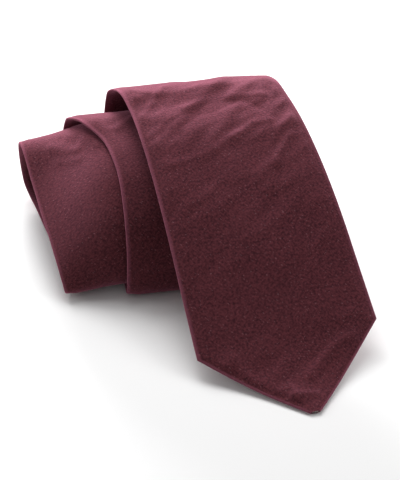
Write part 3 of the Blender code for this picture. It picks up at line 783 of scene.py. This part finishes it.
def cotton_material():
    nodes = Nodes("burgundy_cotton_twill")
    plain = plane_vector(nodes, 0, (1, 1))
    weave = nodes.math("MAXIMUM", *[yarns(nodes, angle, COTTON_YARN) for angle in YARN_ANGLES])
    slubs = [noise(nodes, plane_vector(nodes, angle, (0.35, 1.9)), 1.1) for angle in YARN_ANGLES]
    slub = nodes.math("MULTIPLY", nodes.math("ADD", *slubs), 0.5)
    mottle = noise(nodes, plain, 1.1)
    cloud = noise(nodes, plain, 0.07)
    depth = nodes.math("MULTIPLY_ADD", slub, 0.9, nodes.math("MULTIPLY", mottle, 0.9))
    depth = nodes.math("MULTIPLY_ADD", cloud, 0.15, depth)
    depth = nodes.math("MULTIPLY_ADD", weave, 0.25, depth)
    base = nodes.mix(nodes.span(depth, 0.91, 1.36), COTTON_DARK, COTTON_LIGHT)
    fleck_noise = noise(nodes, plane_vector(nodes, 45, (0.6, 2.0)), 1.5, 0.0)
    flecks = nodes.span(fleck_noise, 0.74, 0.80, 0.0, 0.55)
    base = nodes.mix(flecks, base, COTTON_FLECK)
    # the folded edges get a painted highlight mixed into the base colour
    fold = nodes.add("ShaderNodeAttribute", attribute_name="fold").outputs["Fac"]
    base = nodes.mix(nodes.math("MULTIPLY", fold, 0.36), base, COTTON_FOLD_HIGHLIGHT)
    height = nodes.math("MULTIPLY_ADD", slub, 0.5, nodes.math("MULTIPLY", weave, 0.25))
    height = nodes.math("MULTIPLY_ADD", mottle, 1.1, height)
    nodes.shade(Base_Color=base, Roughness=nodes.span(slub, 0.3, 0.7, 0.58, 0.46),
                Normal=nodes.bump(height, 0.8, 0.0002), Specular_IOR_Level=0.0,
                Sheen_Weight=0.54, Sheen_Roughness=0.55, Sheen_Tint=COTTON_SHEEN)
    return nodes.material


def felt_material():
    nodes = Nodes("interlining_wool_canvas")
    weave = nodes.math("MULTIPLY", *[yarns(nodes, angle, 0.7) for angle in YARN_ANGLES])
    fuzz = noise(nodes, plane_vector(nodes, 0, (1, 1)), 2.2, 4.0)
    base = nodes.mix(nodes.span(nodes.math("MULTIPLY_ADD", weave, 0.4, fuzz), 0.35, 0.95),
                     (0.50, 0.46, 0.38, 1), (0.78, 0.75, 0.68, 1))
    nodes.shade(Base_Color=base, Roughness=nodes.span(fuzz, 0.2, 0.8, 0.9, 1.0),
                Normal=nodes.bump(fuzz, 0.5, 0.0001), Sheen_Weight=0.4, Sheen_Roughness=0.6)
    return nodes.material


def satin_material(name, dark, light, pitch, roughness):
    nodes = Nodes(name)
    lines = yarns(nodes, 0, pitch)
    cross = noise(nodes, plane_vector(nodes, 0, (2.5, 0.4)), 1.6)
    mixed = nodes.math("MULTIPLY_ADD", lines, 0.5, nodes.math("MULTIPLY", cross, 0.5))
    base = nodes.mix(nodes.span(mixed, 0.2, 0.8), dark, light)
    nodes.shade(Base_Color=base, Roughness=nodes.span(cross, 0.3, 0.7, roughness - 0.06, roughness + 0.08),
                Normal=nodes.bump(mixed, 0.3, 0.00008), Anisotropic=0.5, Specular_IOR_Level=0.5)
    return nodes.material


def thread_material():
    nodes = Nodes("burgundy_sewing_thread")
    place = nodes.add("ShaderNodeTexCoord").outputs["Object"]
    wave = nodes.add("ShaderNodeTexWave", {"Vector": place, "Scale": 900.0, "Distortion": 1.5})
    twist = wave.outputs["Fac"]
    base = nodes.mix(twist, (0.045, 0.010, 0.014, 1), (0.12, 0.035, 0.045, 1))
    nodes.shade(Base_Color=base, Roughness=nodes.span(twist, 0.0, 1.0, 0.65, 0.5),
                Normal=nodes.bump(twist, 0.4, 0.00005), Sheen_Weight=0.3)
    return nodes.material


# ---- small pieces sewn on the back ----
def back_points(s, u, depth):
    """Points depth off the back of the blade."""
    t, f = blade_spot(s, u)
    return lifted(t, f, -thickness(s) / 2 - depth)


def band_piece(name, s_span, u_span, gap, thick, counts, soft=0.6):
    """A flat piece on the blade's back with rounded edges; gap gives its distance off the cloth."""
    across, along = [np.sin(np.radians(np.linspace(-90, 90, count))) for count in counts]
    u = (lerp(*u_span, 0.5 + 0.5 * lerp(np.linspace(-1, 1, counts[0]), across, soft)))[:, None]
    s = (lerp(*s_span, 0.5 + 0.5 * lerp(np.linspace(-1, 1, counts[1]), along, soft)))[None, :]
    u, s = np.broadcast_arrays(u, s)
    rim_u = np.minimum(u - u_span[0], u_span[1] - u)
    rim_s = np.minimum(s - s_span[0], s_span[1] - s)
    round_off = np.sqrt(1.0 - (1.0 - np.clip(np.minimum(rim_u, rim_s) / thick, 0.0, 1.0)) ** 2)
    middle = gap(u, s) + thick / 2
    swell = thick / 2 * lerp(0.3, 1.0, round_off)

    def grid(side):
        points = back_points(s, u, middle + side * swell)
        return np.concatenate([2 * points[:1] - points[1:2], points, 2 * points[-1:] - points[-2:-1]])

    plane = np.stack([s, u], axis=-1)
    plane = np.concatenate([plane[:1], plane, plane[-1:]])
    return strip_mesh(name, grid(1), grid(-1), plane, np.zeros(plane.shape[:2]))


def sew(name, lines, radius, thread, nodes, length, sides=6):
    """Short lengths of thread, each a closed tube along its points in the roll's frame."""
    points, faces = [], []
    turn = np.radians(np.arange(sides) * 360.0 / sides)
    for line in lines:
        line = np.asarray(line, float)
        ahead = unit(np.gradient(line, axis=0))
        side = unit(np.cross(ahead, (0.31, 0.17, 0.93)))  # a direction that no thread follows
        up = np.cross(side, ahead)
        first = sum(len(ring) for ring in points)
        sizes = np.array([0.35, *[1.0] * (len(line) - 2), 0.35]) * radius  # it ends thin
        rings = (line[:, None] + sizes[:, None, None] * (side[:, None] * np.cos(turn)[:, None]
                                                         + up[:, None] * np.sin(turn)[:, None]))
        points.append(rings.reshape(-1, 3))
        index = first + np.arange(len(line) * sides).reshape(-1, sides)
        faces += [*round_faces(index).tolist(), index[0, ::-1].tolist(), index[-1].tolist()]
    mesh = bpy.data.meshes.new(name)
    mesh.from_pydata(world(np.concatenate(points)).tolist(), [], faces)
    mesh.shade_smooth()
    finish_piece(add_piece(name, mesh), thread, nodes, length)


def stitch(start, stop, hump, points=7):
    """One stitch from (s, u) to (s, u): it comes up out of the cloth, lies on it and goes down again."""
    k = np.linspace(0.0, 1.0, points)
    s, u = lerp(start[0], stop[0], k), lerp(start[1], stop[1], k)
    return back_points(s, u, hump * (1.6 * np.sin(np.pi * k) ** 0.5 - 0.6))


STRAND = np.linspace(-1.0, 1.0, 7)  # places along one strand of a bar tack
STRAND_RISE = 0.28 * np.sqrt(1.0 - 0.9 * STRAND ** 2)
BAR_PITCH = 0.34
BAR_RADIUS = 0.17


def bar_tack(s, u, length, width, depth):
    """A row of strands worked close together across a bar that lies along u."""
    places = np.arange(u - length / 2 + BAR_PITCH / 2, u + length / 2, BAR_PITCH)
    return [back_points(s + STRAND * width / 2, at + 0.12 * (-1) ** i * STRAND, depth + STRAND_RISE)
            for i, at in enumerate(places)]


# ---- making the tie ----
RUMPLE = Rumple()


def turn_before_end(distance):
    """The turn at a distance from the tail's end, along the tie."""
    return float(np.interp(TIE_LENGTH - distance, ROLL_S, ROLL_T))


def finish_piece(piece, material, nodes, length):
    """Gives a piece its material, hides the CAD nodes that it stands for and makes it follow its length of
    the tie.
    """
    piece.data.materials.append(material)
    if nodes:
        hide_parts(*nodes)
    follow(piece, length)
    return piece


def make_shells(cotton):
    point, flap = point_rows(BLADE_STEP), flap_rows(BLADE_STEP)
    neck_gap, tail_gap = half_gap(NECK_SEAM), half_gap(TAIL_SEAM)
    roll = wound_rows([ROLL_START_TURN, ROLL_SHOWN, NECK_SEAM - neck_gap], [ROLL_STEP, INNER_STEP])
    neck = wound_rows([NECK_SEAM + neck_gap, TAIL_SEAM - tail_gap], [INNER_STEP])
    tail = wound_rows([TAIL_SEAM + tail_gap, turn_before_end(2.0)], [INNER_STEP])
    draped, folded = (BLADE_COUNTS, "draped"), (INNER_COUNTS, "folded")
    lengths = [("point_cloth", point, *draped, "blade_shell_tip", "point", "interlining_point"),
               ("blade_cloth", flap, *draped, "blade_shell_flap", "flap", "interlining_blade"),
               ("roll_cloth", roll, ROLL_COUNTS, "folded", "blade_shell_roll", "roll", "interlining_wound"),
               ("neck_cloth", neck, *folded, "neck_shell", "roll", "roll_cloth"),
               ("tail_cloth", tail, *folded, "tail_shell", "roll", "neck_cloth")]
    for name, rows, counts, held, node, length, under in lengths:
        piece = finish_piece(shell_piece(name, rows, *counts), cotton, [node], length)


def make_linings(wool):
    point, flap = point_rows(LINING_STEP), flap_rows(LINING_STEP)
    roll = wound_rows([ROLL_START_TURN, LINING_CUT[0]], [INNER_LINING_STEP])
    tail = wound_rows([LINING_CUT[1], turn_before_end(5.0)], [INNER_LINING_STEP])
    inset = CLOTH + 0.55
    lengths = [("interlining_point", point, "interlining_tip", "point", 13, ["point_cloth"]),
               ("interlining_blade", flap, "interlining_flap", "flap", 13, ["blade_cloth"]),
               ("interlining_wound", roll, "interlining_roll", "roll", 9, ["roll_cloth"]),
               ("interlining_inner", tail, "interlining_tail", "roll", 7, ["neck_cloth", "tail_cloth"])]
    for name, rows, node, length, count, shell in lengths:
        thin = smooth((rows.s - THICK_FROM) / (THICK_TO - THICK_FROM))
        low, high = lerp(0.05, -LINING / 2, thin), lerp(0.45, LINING / 2, thin)  # the tipping lies under it
        piece = sheet_piece(name, rows, inset, low, high, count)
        finish_piece(piece, wool, [node], length)


def make_tippings(satin):
    point = point_rows(LINING_STEP)
    low = np.full_like(point.s, -0.42)
    piece = sheet_piece("blade_tipping_satin", point, CLOTH + 0.9, low, low + 0.2, 21)
    finish_piece(piece, satin, ["blade_tipping"], "point")
    tail = wound_rows([turn_before_end(62.0), turn_before_end(6.0)], [3.0])
    low = np.full_like(tail.s, -0.45)
    piece = sheet_piece("tail_tipping_satin", tail, CLOTH + 0.7, low, low + 0.15, 7)
    finish_piece(piece, satin, ["tail_tipping"], "roll")


def make_keeper(cotton, thread):
    stand = [(0, 2.0), (11, 1.8), (18, 0.95), (22, 0.4), (25, 0.3)]  # (u, distance off the cloth)
    keeper = band_piece("keeper_loop_band", (118.0, 126.0), (-25.0, 25.0),
                        lambda u, s: table(stand, np.abs(u)), 0.6, (61, 13))
    finish_piece(keeper, cotton, ["keeper_loop"], "keeper")
    places = [(s, u) for u in (-23.5, 23.5) for s in (119.5, 123.7)]  # a tack at each corner
    for number, (s, u) in enumerate(places, 1):
        lines = [stitch((s + 0.1 + 0.2 * k, u - 1.2), (s + 0.1 + 0.2 * k, u + 1.2), 0.3) for k in range(4)]
        lines = [line + (back_points(s, u, 1.0) - back_points(s, u, 0.0)) for line in lines]
        sew(f"keeper_tack_thread_{number}", lines, 0.12, thread, [f"keeper_tack_{number}"], "keeper")


def make_labels(label, tag, thread):
    patch = band_piece("label_patch_weave", (90.0, 108.0), (-17.0, 17.0),
                       lambda u, s: 0.3 + 0.1 * np.cos(u / 17.0 * math.pi / 2), 0.35, (41, 21))
    finish_piece(patch, label, ["label_patch"], "keeper")
    small = band_piece("care_tag_tape", (92.0, 104.0), (19.0, 29.0),
                       lambda u, s: 0.3 + 0.2 * smooth((s - 93.0) / 11.0), 0.25, (13, 17))
    finish_piece(small, tag, ["care_tag"], "keeper")
    rows = [stitch((s, u), (s + 1.5, u), 0.2) for u in (-15.9, 15.9) for s in np.arange(91.0, 106.5, 2.4)]
    rows += [stitch((103.4, u), (103.4, u + 1.4), 0.2) for u in np.arange(20.0, 27.7, 2.0)]
    lift = back_points(99.0, 0.0, 0.72) - back_points(99.0, 0.0, 0.0)
    sew("label_stitches", [row + lift for row in rows], 0.1, thread, [], "keeper")


def make_seam_threads(thread):
    for number, s in enumerate((83, 111, 129, 135), 1):
        lines = [stitch((at, -0.75), (at + 1.5, 0.75), 0.12) for at in np.arange(s + 0.1, s + 3.4, 2.2)]
        sew(f"seam_thread_{number}", lines, 0.11, thread, [f"slip_stitch_{number}"], "seam")
    lines = bar_tack(74.0, 0.0, 10.0, 1.5, 0.25)
    sew("bar_tack_blade_thread", lines, BAR_RADIUS, thread, ["bar_tack_blade"], "tip")
    t = turn_before_end(64.0)
    depth = -TUBE_THICK / 2 - 0.2 - STRAND_RISE
    lines = [lifted(t + STRAND * 0.7 / pace(t), curve_table(DRIFT, t) + u, depth)
             for u in np.arange(-3.8, 4.0, BAR_PITCH)]
    sew("bar_tack_tail_thread", lines, BAR_RADIUS, thread, ["bar_tack_tail"], "roll")


# ---- floor, light and camera ----
FLOOR_HALF = 3.0  # half of the floor's side (m)
FLOOR_Z = -0.0001
AMBIENT = 0.24
LIGHT_TARGET = Vector((0.0, 0.02, 0.02))
# Name, azimuth and elevation (degrees), distance and size (m), power (W).
LIGHTS = [("low_from_behind", 192.0, 11.0, 1.0, 0.40, 18.0),
          ("key_from_behind_left", 205.0, 45.0, 1.0, 0.50, 5.3),
          ("side_from_right", 90.0, 40.0, 1.0, 0.50, 2.2),
          ("overhead", 180.0, 62.0, 1.0, 0.60, 3.6),
          ("side_from_left", 262.0, 20.0, 1.0, 0.50, 1.6)]
CAMERA_LENS = 119.0
CAMERA_ELEVATION = 38.0
CAMERA_DISTANCE = 0.62
CAMERA_AIM = Vector((4.02, -72.83, 20.0)) * MM  # from the roll's origin


def aimed(name, data, azimuth, elevation, target, distance):
    """A camera or lamp that looks at its target; azimuth is 0 in front and 180 behind."""
    thing = add_piece(name, data)
    a, e = math.radians(azimuth), math.radians(elevation)
    back = Vector((math.sin(a) * math.cos(e), -math.cos(a) * math.cos(e), math.sin(e)))
    thing.location = target + back * distance
    thing.rotation_mode = "QUATERNION"
    thing.rotation_quaternion = back.to_track_quat("Z", "Y")
    return thing


def make_room():
    floor = bpy.data.meshes.new("floor")
    corners = [(-1, -1), (1, -1), (1, 1), (-1, 1)]
    floor.from_pydata([(x * FLOOR_HALF, y * FLOOR_HALF, 0) for x, y in corners], [], [(0, 1, 2, 3)])
    plane = add_piece("floor", floor)
    nodes = Nodes("pale_floor")
    nodes.shade(Base_Color=(0.97, 0.97, 0.97, 1), Roughness=0.9, Specular_IOR_Level=0.0)
    floor.materials.append(nodes.material)
    plane.location.z = FLOOR_Z

    scene = bpy.context.scene
    scene.world = bpy.data.worlds.new("studio")
    scene.world.use_nodes = True
    background = scene.world.node_tree.nodes["Background"]
    background.inputs["Color"].default_value = (1, 1, 1, 1)
    background.inputs["Strength"].default_value = AMBIENT
    scene.view_settings.view_transform = "Standard"
    for name, azimuth, elevation, distance, size, power in LIGHTS:
        data = bpy.data.lights.new(name, "AREA")
        data.shape = "DISK"
        data.size = size
        data.energy = power
        aimed(name, data, azimuth, elevation, LIGHT_TARGET, distance).visible_camera = False


def make_camera():
    data = bpy.data.cameras.new("camera")
    data.lens = CAMERA_LENS
    data.clip_start, data.clip_end = 0.01, 20.0
    target = ORIGIN + CAMERA_AIM
    bpy.context.scene.camera = aimed("camera", data, 0.0, CAMERA_ELEVATION, target, CAMERA_DISTANCE)


# ---- the scene ----
cotton, wool, thread = cotton_material(), felt_material(), thread_material()
satin = satin_material("tipping_satin", (0.030, 0.007, 0.011, 1), (0.075, 0.018, 0.028, 1), 0.3, 0.42)
label = satin_material("label_satin", (0.022, 0.022, 0.028, 1), (0.05, 0.05, 0.06, 1), 0.25, 0.5)
tag = satin_material("tag_satin", (0.62, 0.61, 0.58, 1), (0.80, 0.79, 0.76, 1), 0.3, 0.6)
make_shells(cotton)
make_linings(wool)
make_tippings(satin)
make_keeper(cotton, thread)
make_labels(label, tag, thread)
make_seam_threads(thread)
make_room()
make_camera()
